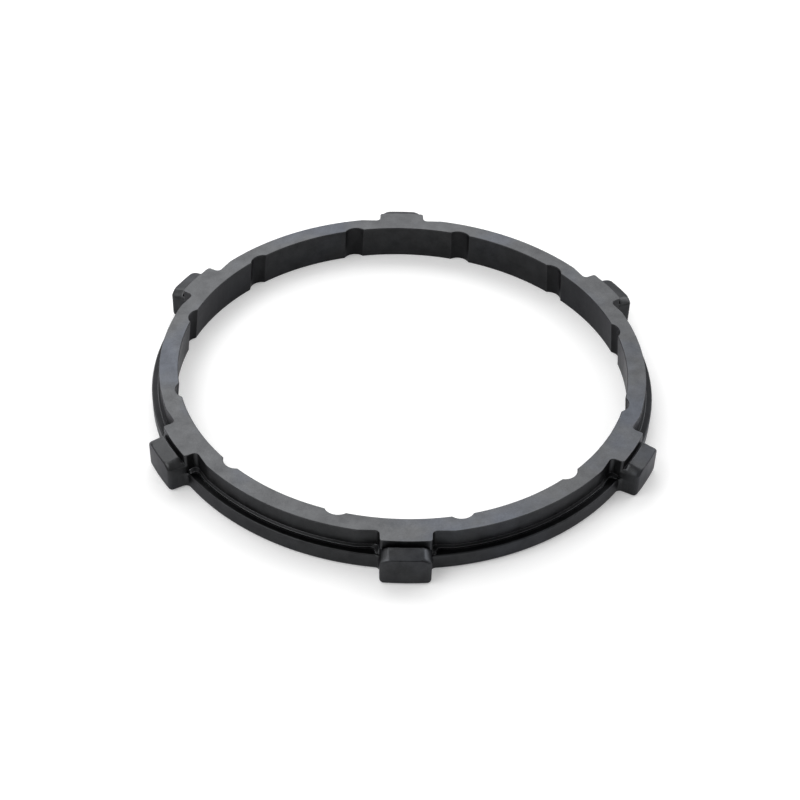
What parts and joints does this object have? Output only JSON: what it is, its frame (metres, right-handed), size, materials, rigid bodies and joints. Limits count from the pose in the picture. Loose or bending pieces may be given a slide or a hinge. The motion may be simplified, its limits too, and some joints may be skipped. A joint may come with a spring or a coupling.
{
  "type": "synchronizer ring",
  "caption": "Steel synchronizer ring: a thin ring with a conical bore, oil notches along the cone, a low outer flange and block-shaped drive lugs round its rim.",
  "frame": {"origin": "on the ring's axis, in the plane of its wide flat face", "axes": "+Z along the ring's axis towards the narrow end of the conical bore; -Y through the middle of a lug"},
  "size_m": [0.1862, 0.1994, 0.0144],
  "materials": {
    "dark_steel": "satin, the face that is turned last lighter than the forged sides"
  },
  "bodies": {
    "root": {"synchronizer_ring": "dark_steel"}
  },
  "joints": []
}
